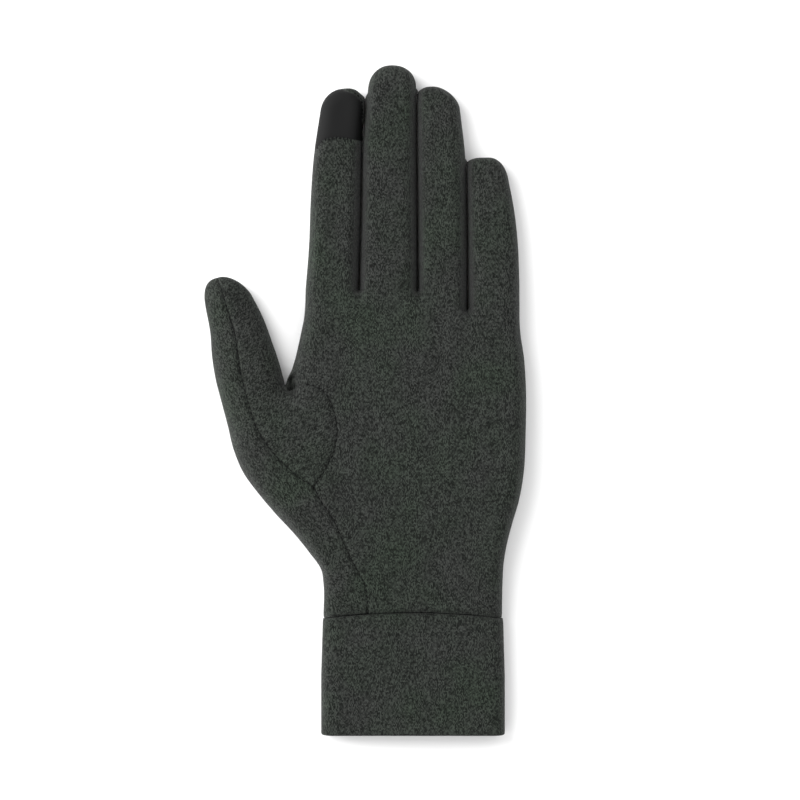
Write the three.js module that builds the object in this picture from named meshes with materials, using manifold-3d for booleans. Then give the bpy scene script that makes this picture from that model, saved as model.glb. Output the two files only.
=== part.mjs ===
// Knitted glove liner for a left hand, lying on its back with the palm side up.
// Five sewn pieces of thin knit, open at the cuff and hollow to the fingertips.
// X runs across the hand, +Y to the fingertips, +Z up from the surface it rests on.

import * as THREE from 'three';
import Module from 'manifold-3d';

const wasm = await Module();
wasm.setup();

// Hand lengths and widths, mm
const PALM_LENGTH = 122.7;
const PALM_WIDTH = 85.6;
const WRIST_WIDTH = 67.8;
const WRIST_BOW = 2.1;
const CUFF_LENGTH = 47;
const CUFF_MOUTH_WIDTH = 69.8;

// Heights above the resting surface, mm
const SEAM_HEIGHT = 6;
const PALM_RISE = 10.5;
const WRIST_RISE = 6.5;
const KNUCKLE_RISE = 9;
const FINGERTIP_RISE = 7;
const CUFF_RISE = 6;
const EDGE_ROUND = 6.5;

// Cloth, mm
const KNIT_WALL = 1;
const CUFF_WALL = 1.8;
const SEAM_GAP = 0.3;
const CLEARANCE = 4;

// Points where the digits leave the palm: across as shares of half the palm width,
// along as shares of the palm length, both from the middle of the wrist seam.
const ROOTS = {
  thumbOuter: { across: -1.702, along: 0.652 },
  thumbCrotch: { across: -1.133, along: 0.703 },
  indexOuter: { across: -0.953, along: 1 },
  indexMiddle: { across: -0.479, along: 1 },
  middleRing: { across: 0.044, along: 0.998 },
  ringLittle: { across: 0.484, along: 0.938 },
  littleOuter: { across: 0.946, along: 0.938 },
};

// Each digit: its length and the length of its rounded end in mm. The edges run from
// the root to the start of the rounded end at even steps, as shares of the root width
// from its middle. The tip side is a share of the same width, and the roundness
// numbers are the powers of the rounded end on the left and on the right.
const DIGITS = [
  {
    name: 'thumb', from: 'thumbOuter', to: 'thumbCrotch', length: 46, roundEnd: 10.5,
    leftEdge: [-0.5, -0.499, -0.465, -0.402, -0.378],
    rightEdge: [0.5, 0.493, 0.465, 0.429, 0.352],
    tipSide: -0.08, roundness: [2.8, 2],
  },
  {
    name: 'index', from: 'indexOuter', to: 'indexMiddle', length: 76.3, roundEnd: 9,
    leftEdge: [-0.5, -0.436, -0.406, -0.347, -0.227],
    rightEdge: [0.486, 0.508, 0.53, 0.54, 0.605],
    tipSide: 0.293, roundness: [2.4, 2.2],
  },
  {
    name: 'middle', from: 'indexMiddle', to: 'middleRing', length: 85.2, roundEnd: 8.5,
    leftEdge: [-0.488, -0.465, -0.443, -0.428, -0.344],
    rightEdge: [0.486, 0.481, 0.475, 0.469, 0.468],
    tipSide: 0.058, roundness: [2.2, 2.2],
  },
  {
    name: 'ring', from: 'middleRing', to: 'ringLittle', length: 80.9, roundEnd: 8,
    leftEdge: [-0.484, -0.491, -0.5, -0.506, -0.513],
    rightEdge: [0.49, 0.485, 0.477, 0.457, 0.345],
    tipSide: -0.19, roundness: [3, 1.8],
  },
  {
    name: 'little', from: 'ringLittle', to: 'littleOuter', length: 57.6, roundEnd: 8.5,
    leftEdge: [-0.48, -0.484, -0.49, -0.495, -0.51],
    rightEdge: [0.5, 0.494, 0.468, 0.403, 0.288],
    tipSide: -0.107, roundness: [4.2, 2.4],
  },
];

// Sides of the palm: along as shares of the palm length, across as shares of half its width
const THUMB_SIDE = {
  along: [0, 0.1, 0.14, 0.19, 0.25, 0.31, 0.37, 0.43, 0.5, 0.58, 0.652],
  across: [-0.795, -0.795, -0.815, -0.915, -1.056, -1.22, -1.37, -1.5, -1.589, -1.647, -1.702],
};
const INDEX_SIDE = {
  along: [0.703, 0.719, 0.75, 0.781, 0.812, 0.843, 0.874, 0.905, 0.936, 1],
  across: [-1.133, -1.119, -1.077, -1.049, -1.026, -1.007, -0.988, -0.97, -0.96, -0.953],
};
const LITTLE_SIDE = {
  along: [0, 0.1, 0.16, 0.22, 0.28, 0.35, 0.44, 0.55, 0.72, 0.79, 0.86, 0.91, 0.938],
  across: [0.79, 0.795, 0.805, 0.835, 0.88, 0.94, 0.985, 1, 1, 0.985, 0.955, 0.946, 0.946],
};

// Seam lines. A leg on the palm gives across and along as shares of half the palm width
// and the palm length. A leg on a digit gives the share of its root width from its
// middle, and the share of its length from its root.
const THUMB_SEAM = [
  { on: 'thumb', at: [[-0.062, 1.084], [-0.081, 0.985], [-0.063, 0.856], [-0.062, 0.726],
    [-0.049, 0.622], [-0.042, 0.514], [-0.065, 0.36], [-0.091, 0.237], [-0.102, 0.085]] },
  { on: 'palm', at: [[-1.446, 0.638], [-1.402, 0.588], [-1.327, 0.539], [-1.143, 0.46],
    [-0.995, 0.415], [-0.874, 0.385], [-0.825, 0.352], [-0.778, 0.328], [-0.692, 0.279],
    [-0.584, 0.193], [-0.509, 0.141], [-0.423, 0.081], [-0.402, 0.022], [-0.4, -0.05]] },
];
const ARCH_SEAM = [
  { on: 'thumb', at: [[0.554, 0.1], [0.519, 0.033], [0.503, -0.011], [0.527, -0.037], [0.593, -0.038]] },
  { on: 'palm', at: [[-1.03, 0.7], [-0.918, 0.704], [-0.848, 0.696], [-0.785, 0.681],
    [-0.745, 0.662], [-0.706, 0.628], [-0.685, 0.604], [-0.671, 0.57], [-0.678, 0.531],
    [-0.706, 0.492], [-0.748, 0.462], [-0.797, 0.43], [-0.841, 0.41], [-0.8805, 0.3815]] },
];
const THUMB_UNDER_SEAM = [
  { on: 'thumb', at: [[-0.062, 1.084], [-0.081, 0.985], [-0.105, 0.683], [0.052, 0.344],
    [0.295, 0.076], [0.415, -0.005], [0.469, -0.02], [0.5, -0.003], [0.527, 0.043], [0.554, 0.1]] },
];
const FINGERTIP_SEAM = [
  { on: 'index', at: [[-0.515, 0.651], [-0.329, 0.688], [-0.259, 0.711], [-0.16, 0.738],
    [-0.032, 0.748], [0.11, 0.751], [0.253, 0.748], [0.367, 0.74], [0.502, 0.74], [0.575, 0.74]] },
];

// The palm and back part company to the right of this line, halfway up the glove
const PANEL_SPLIT_EDGE = [
  { on: 'palm', at: [[-0.2, -0.2], [-0.2, 0.1], [-0.45, 0.35], [-0.85, 0.6]] },
  { on: 'thumb', at: [[0.456, -0.03], [0.485, -0.006], [0.519, 0.033], [0.554, 0.1]] },
  { on: 'palm', at: [[-1.1, 0.8], [-1.1, 1.8]] },
];

// A panel that ends beyond this share of the palm length reaches the fingertips
const FINGERTIP_REACH = 1.3;

// Mesh steps
const COLUMN_SHARES = [0, 0.035, 0.13, 0.33, 0.67, 0.87, 0.965, 1];
const PALM_ROWS = 12;
const THUMB_ROOT_ROW = 9;
const STRAIGHT_SHARES = [0.06, 0.18, 0.38, 0.6, 0.8, 1];
const END_SHARES = [0.4, 0.72, 0.92, 1];
const CUFF_ROWS = 3;
const CUFF_COLUMNS = 18;

const HALF_PALM = PALM_WIDTH / 2;
const HALF_WRIST = WRIST_WIDTH / 2;

const mix = (a, b, share) => a + (b - a) * share;
const root = (name) => [ROOTS[name].across * HALF_PALM, ROOTS[name].along * PALM_LENGTH];
const PALM_FRAME = { middle: [0, 0], across: [1, 0], along: [0, 1], width: HALF_PALM, length: PALM_LENGTH };

// Where a digit stands: the four fingers go straight along Y, and the thumb stands
// square to the line across its root.
function digitFrame(name) {
  const digit = DIGITS.find((item) => item.name === name);
  const left = root(digit.from);
  const right = root(digit.to);
  const drop = name === 'thumb' ? right[1] - left[1] : 0;
  const width = Math.hypot(right[0] - left[0], drop);
  const across = [(right[0] - left[0]) / width, drop / width];
  const middle = [(left[0] + right[0]) / 2, (left[1] + right[1]) / 2];
  return { middle, across, along: [-across[1], across[0]], width, length: digit.length };
}

// A plan point from its shares in a frame
function placeIn(frame, [side, up]) {
  return [0, 1].map((axis) => frame.middle[axis] + frame.across[axis] * side * frame.width
    + frame.along[axis] * up * frame.length);
}

function lineOf(legs) {
  return legs.flatMap(({ on, at }) => {
    const frame = on === 'palm' ? PALM_FRAME : digitFrame(on);
    return at.map((shares) => placeIn(frame, shares));
  });
}

// Value between two table rows, in a straight line
function readTable(table, along) {
  let i = 1;
  while (i < table.along.length - 1 && table.along[i] < along) i += 1;
  const share = (along - table.along[i - 1]) / (table.along[i] - table.along[i - 1]);
  return mix(table.across[i - 1], table.across[i], share);
}

// Value on an evenly stepped list, with a smooth curve through its points
function readCurve(values, share) {
  const last = values.length - 1;
  const place = Math.min(share * last, last - 1e-9);
  const i = Math.floor(place);
  const f = place - i;
  const before = i > 0 ? values[i - 1] : 2 * values[0] - values[1];
  const after = i + 2 <= last ? values[i + 2] : 2 * values[last] - values[last - 1];
  const slopeStart = (values[i + 1] - before) / 2;
  const slopeEnd = (after - values[i]) / 2;
  const rise = values[i + 1] - values[i];
  return values[i] + f * (slopeStart + f * (3 * rise - 2 * slopeStart - slopeEnd
    + f * (slopeStart + slopeEnd - 2 * rise)));
}

// The wrist seam bows toward the fingertips in the middle
function wristBow(x, share) {
  return -WRIST_BOW * (x / HALF_WRIST) ** 2 * (1 - share) ** 3;
}

// Lines that run up the palm from the wrist seam to each root, by share of the way
const PALM_LINES = ['thumbOuter', 'thumbCrotch', 'indexMiddle', 'middleRing', 'ringLittle', 'littleOuter'];

function palmLine(name, share) {
  const [endX, endY] = root(name);
  let x;
  if (name === 'thumbOuter') {
    x = readTable(THUMB_SIDE, (endY / PALM_LENGTH) * share) * HALF_PALM;
  } else if (name === 'littleOuter') {
    x = readTable(LITTLE_SIDE, (endY / PALM_LENGTH) * share) * HALF_PALM;
  } else {
    const startX = mix(-HALF_WRIST, HALF_WRIST, PALM_LINES.indexOf(name) / (PALM_LINES.length - 1));
    x = mix(startX, endX, share);
  }
  return [x, endY * share + wristBow(x, share)];
}

function palmRise(share) {
  const early = Math.min(share / 0.5, 1);
  const late = Math.max((share - 0.5) / 0.5, 0);
  return mix(WRIST_RISE, PALM_RISE, Math.sin(early * Math.PI / 2))
    - (PALM_RISE - KNUCKLE_RISE) * late ** 2;
}

// Every strip is a list of rows, each row a list of plan points with a rise
function rowBetween(left, right, rise) {
  return COLUMN_SHARES.map((share) => ({
    x: mix(left[0], right[0], share),
    y: mix(left[1], right[1], share),
    rise,
  }));
}

// Rows of one digit above its root
function digitRows(digit) {
  const frame = digitFrame(digit.name);
  const isThumb = digit.name === 'thumb';
  const rootLift = isThumb ? 0 : (root(digit.from)[1] - root(digit.to)[1]) / 2;
  const rootRise = isThumb ? palmRise(ROOTS.thumbCrotch.along) : KNUCKLE_RISE;
  const straight = 1 - digit.roundEnd / digit.length;
  const rows = [];
  const addRow = (share, leftSide, rightSide) => {
    const slant = (rootLift / digit.length) * (1 - share);
    const left = placeIn(frame, [leftSide, share + slant]);
    const right = placeIn(frame, [rightSide, share - slant]);
    rows.push(rowBetween(left, right, mix(rootRise, FINGERTIP_RISE, share)));
  };
  for (const share of STRAIGHT_SHARES) {
    addRow(straight * share, readCurve(digit.leftEdge, share), readCurve(digit.rightEdge, share));
  }
  const lastLeft = digit.leftEdge.at(-1);
  const lastRight = digit.rightEdge.at(-1);
  const step = straight * digit.length / (digit.leftEdge.length - 1);
  const leftSlope = (lastLeft - digit.leftEdge.at(-2)) * digit.roundEnd / step;
  const rightSlope = (lastRight - digit.rightEdge.at(-2)) * digit.roundEnd / step;
  for (const share of END_SHARES) {
    const keep = digit.roundness.map((power) => (1 - share ** power) ** (1 / power));
    const leftSide = mix(digit.tipSide, lastLeft + leftSlope * share, keep[0]);
    const rightSide = mix(digit.tipSide, lastRight + rightSlope * share, keep[1]);
    addRow(mix(straight, 1, share), leftSide, rightSide);
  }
  return rows;
}

function handStrips() {
  const crotchShare = ROOTS.thumbCrotch.along;
  const shareAt = (row) => (row <= THUMB_ROOT_ROW
    ? crotchShare * row / THUMB_ROOT_ROW
    : mix(crotchShare, 1, (row - THUMB_ROOT_ROW) / (PALM_ROWS - THUMB_ROOT_ROW)));
  const strips = [];
  DIGITS.forEach((digit) => {
    const rows = [];
    const lastRow = digit.name === 'thumb' ? THUMB_ROOT_ROW : PALM_ROWS;
    for (let row = 0; row <= lastRow; row += 1) {
      const share = shareAt(row);
      const rise = palmRise(share);
      const rootShare = row / THUMB_ROOT_ROW;
      let left;
      if (digit.name === 'thumb') {
        left = palmLine('thumbOuter', rootShare);
      } else if (digit.name !== 'index') {
        left = palmLine(digit.from, share);
      } else if (row <= THUMB_ROOT_ROW) {
        left = palmLine('thumbCrotch', rootShare);
      } else {
        left = [readTable(INDEX_SIDE, share) * HALF_PALM, share * PALM_LENGTH];
      }
      const right = digit.name === 'thumb' ? palmLine('thumbCrotch', rootShare) : palmLine(digit.to, share);
      rows.push(rowBetween(left, right, rise));
    }
    rows.push(...digitRows(digit));
    strips.push({ name: digit.name, rows, rootRow: lastRow });
  });
  return strips;
}

// The outline of the hand in plan, as pairs of end points; the wrist stays open
function outlineOf(strips) {
  const edges = [];
  const addEdge = (a, b) => edges.push([a.x, a.y, b.x, b.y]);
  for (const strip of strips) {
    const { name, rows, rootRow } = strip;
    for (let row = 0; row < rows.length - 1; row += 1) {
      const freeLeft = row >= rootRow || name === 'thumb' || (name === 'index' && row >= THUMB_ROOT_ROW);
      const freeRight = row >= rootRow || name === 'little';
      if (freeLeft) addEdge(rows[row][0], rows[row + 1][0]);
      if (freeRight) addEdge(rows[row].at(-1), rows[row + 1].at(-1));
    }
  }
  return edges;
}

function distanceTo(edges, x, y) {
  let least = Infinity;
  for (const [ax, ay, bx, by] of edges) {
    const lengthSquared = (bx - ax) ** 2 + (by - ay) ** 2;
    let share = 0;
    if (lengthSquared > 0) {
      share = Math.min(Math.max(((x - ax) * (bx - ax) + (y - ay) * (by - ay)) / lengthSquared, 0), 1);
    }
    least = Math.min(least, Math.hypot(x - mix(ax, bx, share), y - mix(ay, by, share)));
  }
  return least;
}

// Rounded edge: 0 at the outline, 1 once the cloth is flat
function edgeShape(distance, reach) {
  const share = Math.min(distance / reach, 1);
  return Math.sqrt(Math.max(1 - (1 - share) ** 3, 0));
}

// Collects triangles and joins corners that share a place
class Skin {
  constructor() {
    this.places = [];
    this.keys = new Map();
    this.faces = [];
  }

  corner(p) {
    const key = p.map((value) => Math.round(value * 1e4)).join(' ');
    if (!this.keys.has(key)) {
      this.keys.set(key, this.places.length);
      this.places.push(p);
    }
    return this.keys.get(key);
  }

  face(a, b, c) {
    const ids = [a, b, c].map((p) => this.corner(p));
    if (new Set(ids).size === 3) this.faces.push(ids);
  }

  quad(a, b, c, d) {
    this.face(a, b, c);
    this.face(a, c, d);
  }

  solid() {
    return new wasm.Manifold(new wasm.Mesh({
      numProp: 3,
      vertProperties: new Float32Array(this.places.flat()),
      triVerts: new Uint32Array(this.faces.flat()),
    }));
  }

  // Moves every corner inward along the average direction of its faces
  shrunk(depth) {
    const normals = this.places.map(() => new THREE.Vector3());
    const [a, b, c] = [new THREE.Vector3(), new THREE.Vector3(), new THREE.Vector3()];
    for (const ids of this.faces) {
      a.fromArray(this.places[ids[0]]);
      b.fromArray(this.places[ids[1]]).sub(a);
      c.fromArray(this.places[ids[2]]).sub(a);
      const normal = b.cross(c);
      ids.forEach((id) => normals[id].add(normal));
    }
    const inner = new Skin();
    inner.places = this.places.map((p, i) => {
      const n = normals[i].normalize();
      return [p[0] - n.x * depth, p[1] - n.y * depth, p[2] - n.z * depth];
    });
    inner.faces = this.faces;
    return inner;
  }
}

function sheetPlaces(rows, edges) {
  return rows.map((row) => row.map(({ x, y, rise }) => {
    const shape = edgeShape(distanceTo(edges, x, y), EDGE_ROUND);
    return { top: [x, y, SEAM_HEIGHT + rise * shape], under: [x, y, SEAM_HEIGHT * (1 - shape)] };
  }));
}

function addSheets(skin, rows) {
  for (let row = 0; row < rows.length - 1; row += 1) {
    for (let column = 0; column < rows[row].length - 1; column += 1) {
      const corners = [
        rows[row][column], rows[row][column + 1], rows[row + 1][column + 1], rows[row + 1][column],
      ];
      skin.quad(...corners.map((corner) => corner.top));
      skin.quad(...corners.map((corner) => corner.under).reverse());
    }
  }
}

// Closes an open end between the two sheets
function addEnd(skin, row, towardTips) {
  for (let column = 0; column < row.length - 1; column += 1) {
    const corners = [row[column].under, row[column + 1].under, row[column + 1].top, row[column].top];
    skin.quad(...(towardTips ? corners.reverse() : corners));
  }
}

// A hollow tube of cloth: the outer skin less the same skin moved in by the wall.
// Both ends are pushed past the outer skin where the tube is open.
function hollow(sheets, wall, openEnds) {
  const open = new Skin();
  sheets.forEach((rows) => addSheets(open, rows));
  const inner = open.shrunk(wall);
  const outer = new Skin();
  sheets.forEach((rows) => addSheets(outer, rows));
  const core = new Skin();
  const moved = (p) => inner.places[open.corner(p)];
  const movedSheets = sheets.map((rows) => rows.map((row, index) => row.map((corner) => {
    const end = openEnds.find((item) => item.row === index);
    const shift = end ? end.shift : 0;
    const [top, under] = [moved(corner.top), moved(corner.under)];
    return { top: [top[0], top[1] + shift, top[2]], under: [under[0], under[1] + shift, under[2]] };
  })));
  movedSheets.forEach((rows) => addSheets(core, rows));
  for (const end of openEnds) {
    sheets.forEach((rows) => addEnd(outer, rows[end.row], end.shift > 0));
    movedSheets.forEach((rows) => addEnd(core, rows[end.row], end.shift > 0));
  }
  return outer.solid().subtract(core.solid());
}

// A closed wall between two plan lines with the same number of points
function prismBetween(leftLine, rightLine, low, high) {
  const skin = new Skin();
  const lift = (p, z) => [p[0], p[1], z];
  for (let i = 0; i < leftLine.length - 1; i += 1) {
    const [a, b, c, d] = [leftLine[i], rightLine[i], rightLine[i + 1], leftLine[i + 1]];
    skin.quad(lift(a, high), lift(b, high), lift(c, high), lift(d, high));
    skin.quad(lift(d, low), lift(c, low), lift(b, low), lift(a, low));
    skin.quad(lift(a, low), lift(a, high), lift(d, high), lift(d, low));
    skin.quad(lift(b, high), lift(b, low), lift(c, low), lift(c, high));
  }
  const last = leftLine.length - 1;
  skin.quad(
    lift(leftLine[0], low), lift(rightLine[0], low),
    lift(rightLine[0], high), lift(leftLine[0], high),
  );
  skin.quad(
    lift(leftLine[last], high), lift(rightLine[last], high),
    lift(rightLine[last], low), lift(leftLine[last], low),
  );
  return skin.solid();
}

function seamCut(seam, low, high) {
  const line = lineOf(seam);
  const sideways = line.map((p, i) => {
    const before = line[Math.max(i - 1, 0)];
    const after = line[Math.min(i + 1, line.length - 1)];
    const run = Math.hypot(after[0] - before[0], after[1] - before[1]);
    return [(after[1] - before[1]) / run, -(after[0] - before[0]) / run];
  });
  const shifted = (side) => line.map((p, i) => [
    p[0] + side * sideways[i][0] * SEAM_GAP / 2,
    p[1] + side * sideways[i][1] * SEAM_GAP / 2,
  ]);
  return prismBetween(shifted(-1), shifted(1), low, high);
}

function handPanels() {
  const strips = handStrips();
  const edges = outlineOf(strips);
  const sheets = strips.map((strip) => sheetPlaces(strip.rows, edges));
  let shell = hollow(sheets, KNIT_WALL, [{ row: 0, shift: -CLEARANCE }]);
  const low = SEAM_HEIGHT - SEAM_GAP / 2;
  const high = SEAM_HEIGHT + SEAM_GAP / 2;
  const above = SEAM_HEIGHT + PALM_RISE + CLEARANCE;
  for (const seam of [THUMB_SEAM, ARCH_SEAM, FINGERTIP_SEAM]) {
    shell = shell.subtract(seamCut(seam, low, above));
  }
  shell = shell.subtract(seamCut(THUMB_UNDER_SEAM, -CLEARANCE, high));
  const splitLeft = lineOf(PANEL_SPLIT_EDGE);
  const splitRight = splitLeft.map(([, y]) => [HALF_PALM + CLEARANCE, y]);
  return shell.subtract(prismBetween(splitLeft, splitRight, low, high)).decompose();
}

// The doubled cuff, from just below the wrist seam to its folded mouth
function cuffBand() {
  const rows = [];
  for (let row = 0; row <= CUFF_ROWS; row += 1) {
    const share = row / CUFF_ROWS;
    const halfWidth = mix(WRIST_WIDTH, CUFF_MOUTH_WIDTH, Math.min(share * 2, 1)) / 2;
    const places = Array.from({ length: CUFF_COLUMNS + 1 }, (_, column) => {
      const x = -halfWidth * Math.cos(Math.PI * column / CUFF_COLUMNS);
      const y = mix(wristBow(x, 0) - SEAM_GAP, -CUFF_LENGTH, share);
      const shape = edgeShape(halfWidth - Math.abs(x), EDGE_ROUND);
      return { top: [x, y, SEAM_HEIGHT + CUFF_RISE * shape], under: [x, y, SEAM_HEIGHT * (1 - shape)] };
    });
    rows.unshift(places);
  }
  return hollow([rows], CUFF_WALL, [
    { row: 0, shift: -CLEARANCE },
    { row: CUFF_ROWS, shift: CLEARANCE },
  ]);
}

function nameOf(panel) {
  const { min, max } = panel.boundingBox();
  const reachesFingertips = max[1] > PALM_LENGTH * FINGERTIP_REACH;
  const restsBelow = min[2] < SEAM_HEIGHT / 2;
  if (reachesFingertips && restsBelow) return 'back_panel';
  if (restsBelow) return 'thumb_gusset';
  return min[1] > PALM_LENGTH ? 'touch_tip' : 'palm_panel';
}

function meshOf(name, solid, color, shift) {
  const { vertProperties, triVerts } = solid.getMesh();
  const geometry = new THREE.BufferGeometry();
  geometry.setAttribute('position', new THREE.BufferAttribute(new Float32Array(vertProperties), 3));
  geometry.setIndex(new THREE.BufferAttribute(new Uint32Array(triVerts), 1));
  geometry.translate(shift[0], shift[1], shift[2]);
  geometry.computeVertexNormals();
  const material = new THREE.MeshStandardMaterial({ color, roughness: 0.95, side: THREE.DoubleSide });
  const mesh = new THREE.Mesh(geometry, material);
  mesh.name = name;
  return mesh;
}

const COLORS = {
  palm_panel: 0x343734,
  back_panel: 0x394039,
  thumb_gusset: 0x373c37,
  touch_tip: 0x222323,
  cuff_band: 0x383b37,
};

const pieces = handPanels().map((panel) => [nameOf(panel), panel]);
pieces.push(['cuff_band', cuffBand()]);

// The origin sits at the middle of the underside of the whole glove
const boxes = pieces.map(([, solid]) => solid.boundingBox());
const lowest = [0, 1, 2].map((axis) => Math.min(...boxes.map((box) => box.min[axis])));
const highest = [0, 1, 2].map((axis) => Math.max(...boxes.map((box) => box.max[axis])));
const shift = [-(lowest[0] + highest[0]) / 2, -(lowest[1] + highest[1]) / 2, -lowest[2]];

const glove = new THREE.Group();
glove.name = 'glove_liner';
for (const [name, solid] of pieces) {
  glove.add(meshOf(name, solid, COLORS[name], shift));
}

export default glove;
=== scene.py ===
# %% [markdown]
# # A knitted glove liner, palm up
# A liner glove is five pieces of thin jersey sewn into a hand-shaped bag: a palm, a back,
# a gusset for the thumb, a smooth cloth tip for the index finger and a doubled cuff. Here
# one surface is worked out for the whole hand, then cut along the real seam lines, so that
# neighbouring pieces meet exactly as sewn cloth does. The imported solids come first, because
# every piece of cloth stands in for one of them.

import bpy
import numpy as np
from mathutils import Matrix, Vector


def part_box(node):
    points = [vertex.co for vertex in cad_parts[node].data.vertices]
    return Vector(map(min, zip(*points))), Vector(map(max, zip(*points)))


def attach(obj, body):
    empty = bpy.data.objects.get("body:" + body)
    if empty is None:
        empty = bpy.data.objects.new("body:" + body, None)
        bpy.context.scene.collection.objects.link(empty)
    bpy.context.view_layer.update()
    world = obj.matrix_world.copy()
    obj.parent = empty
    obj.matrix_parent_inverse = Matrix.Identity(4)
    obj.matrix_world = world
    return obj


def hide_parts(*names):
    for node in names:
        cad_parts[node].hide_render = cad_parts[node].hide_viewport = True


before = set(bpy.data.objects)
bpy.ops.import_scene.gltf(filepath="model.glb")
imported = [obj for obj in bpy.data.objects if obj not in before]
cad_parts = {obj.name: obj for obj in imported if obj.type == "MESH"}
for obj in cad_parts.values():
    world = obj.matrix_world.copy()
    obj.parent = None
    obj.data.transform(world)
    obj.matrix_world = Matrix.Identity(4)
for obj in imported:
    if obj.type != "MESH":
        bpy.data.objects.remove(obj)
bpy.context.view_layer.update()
MM = 0.001

# %% [markdown]
# ## Where the wrist is
# The hand is drawn from the middle of the wrist seam, in millimetres, because a maker
# measures a glove from there. The cuff's solid says where that point lies in the frame.

# %% Wrist point
SEAM_GAP = 0.3
cuff_low, cuff_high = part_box("cuff_band")
WRIST = np.array([(cuff_low.x + cuff_high.x) / 2, cuff_high.y + SEAM_GAP * MM, 0.0])
print("wrist seam at", WRIST.round(4))

# %% [markdown]
# ## The camera
# The glove is seen from straight above through a long lens, so nothing tapers. One pixel
# of the 800 pixel square picture covers 0.38 mm at half the glove's height.

# %% Camera
PIXEL = 0.38
PICTURE = 800
VIEW_MIDDLE = (-4.94, 80.56)
HALF_HEIGHT = 6.0
CAMERA_RISE = 1600.0
SENSOR = 36.0

camera = bpy.data.objects.new("camera", bpy.data.cameras.new("camera"))
bpy.context.scene.collection.objects.link(camera)
camera.location = WRIST + np.array([*VIEW_MIDDLE, HALF_HEIGHT + CAMERA_RISE]) * MM
camera.data.sensor_width = SENSOR
camera.data.lens = SENSOR * CAMERA_RISE / (PIXEL * PICTURE)
camera.data.clip_end = 20
bpy.context.scene.camera = camera
print("lens", round(camera.data.lens, 1), "mm")

# %% [markdown]
# ## The hand's sizes
# The same named sizes as the solids: the palm, the roots of the digits, and a short table
# for each digit's edges as shares of its width at the root.

# %% Sizes in millimetres
PALM_LENGTH = 122.7
HALF_PALM = 42.8
HALF_WRIST = 33.9
WRIST_BOW = 2.1
SEAM_HEIGHT = 6.0
PALM_RISE, WRIST_RISE, KNUCKLE_RISE, FINGERTIP_RISE = 10.5, 6.5, 9.0, 7.0
EDGE_ROUND = 6.5
KNIT_WALL = 1.0

ROOTS = {
    "thumb_outer": (-1.702, 0.652), "thumb_crotch": (-1.133, 0.703),
    "index_outer": (-0.953, 1.0), "index_middle": (-0.479, 1.0),
    "middle_ring": (0.044, 0.998), "ring_little": (0.484, 0.938),
    "little_outer": (0.946, 0.938),
}
DIGITS = {
    "thumb": dict(
        roots=("thumb_outer", "thumb_crotch"), length=46.0, round_end=10.5,
        left=(-0.5, -0.499, -0.465, -0.402, -0.378),
        right=(0.5, 0.493, 0.465, 0.429, 0.352), tip=-0.08, power=(2.8, 2.0)),
    "index": dict(
        roots=("index_outer", "index_middle"), length=76.3, round_end=9.0,
        left=(-0.5, -0.436, -0.406, -0.347, -0.227),
        right=(0.486, 0.508, 0.53, 0.54, 0.605), tip=0.293, power=(2.4, 2.2)),
    "middle": dict(
        roots=("index_middle", "middle_ring"), length=85.2, round_end=8.5,
        left=(-0.488, -0.465, -0.443, -0.428, -0.344),
        right=(0.486, 0.481, 0.475, 0.469, 0.468), tip=0.058, power=(2.2, 2.2)),
    "ring": dict(
        roots=("middle_ring", "ring_little"), length=80.9, round_end=8.0,
        left=(-0.484, -0.491, -0.5, -0.506, -0.513),
        right=(0.49, 0.485, 0.477, 0.457, 0.345), tip=-0.19, power=(3.0, 1.8)),
    "little": dict(
        roots=("ring_little", "little_outer"), length=57.6, round_end=8.5,
        left=(-0.48, -0.484, -0.49, -0.495, -0.51),
        right=(0.5, 0.494, 0.468, 0.403, 0.288), tip=-0.107, power=(4.2, 2.4)),
}
THUMB_SIDE = (
    (0, 0.1, 0.14, 0.19, 0.25, 0.31, 0.37, 0.43, 0.5, 0.58, 0.652),
    (-0.795, -0.795, -0.815, -0.915, -1.056, -1.22, -1.37, -1.5, -1.589, -1.647, -1.702))
INDEX_SIDE = (
    (0.703, 0.719, 0.75, 0.781, 0.812, 0.843, 0.874, 0.905, 0.936, 1),
    (-1.133, -1.119, -1.077, -1.049, -1.026, -1.007, -0.988, -0.97, -0.96, -0.953))
LITTLE_SIDE = (
    (0, 0.1, 0.16, 0.22, 0.28, 0.35, 0.44, 0.55, 0.72, 0.79, 0.86, 0.91, 0.938),
    (0.79, 0.795, 0.805, 0.835, 0.88, 0.94, 0.985, 1, 1, 0.985, 0.955, 0.946, 0.946))


def root(name):
    """Plan point of a root, from its shares of half the palm width and the palm length."""
    across, along = ROOTS[name]
    return np.array([across * HALF_PALM, along * PALM_LENGTH])


def read_smooth(table, at):
    """Cubic curve through a table's points. The slope at each point is the slope between
    its neighbours, and between two points y = the cubic with those slopes."""
    xs, ys = (np.asarray(column, float) for column in table)
    slopes = np.gradient(ys, xs)
    at = np.asarray(at, float)
    i = np.clip(np.searchsorted(xs, at) - 1, 0, len(xs) - 2)
    run = xs[i + 1] - xs[i]
    f = (at - xs[i]) / run
    rise = ys[i + 1] - ys[i]
    start, end = slopes[i] * run, slopes[i + 1] * run
    return ys[i] + f * (start + f * (3 * rise - 2 * start - end + f * (start + end - 2 * rise)))


print("digits", {name: digit["length"] for name, digit in DIGITS.items()})

# %% [markdown]
# ## Strips of cloth
# Each digit continues down the palm as a strip to the wrist. A strip is a grid of plan
# points: rows run up the hand, columns across it and crowd towards the edges, where the
# cloth turns fast. Neighbouring strips share their border on the palm, so the sheet is
# whole there and splits only above the roots of the fingers. Soft fingers lying side by
# side press on each other, so their facing edges meet midway and leave a thin dark line.

# %% Strip grids
COLUMN_COUNT = 26
STEP = 0.85
THUMB_ROOT_SHARE = ROOTS["thumb_crotch"][1]
EDGE_CROWDING = 0.72

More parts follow.
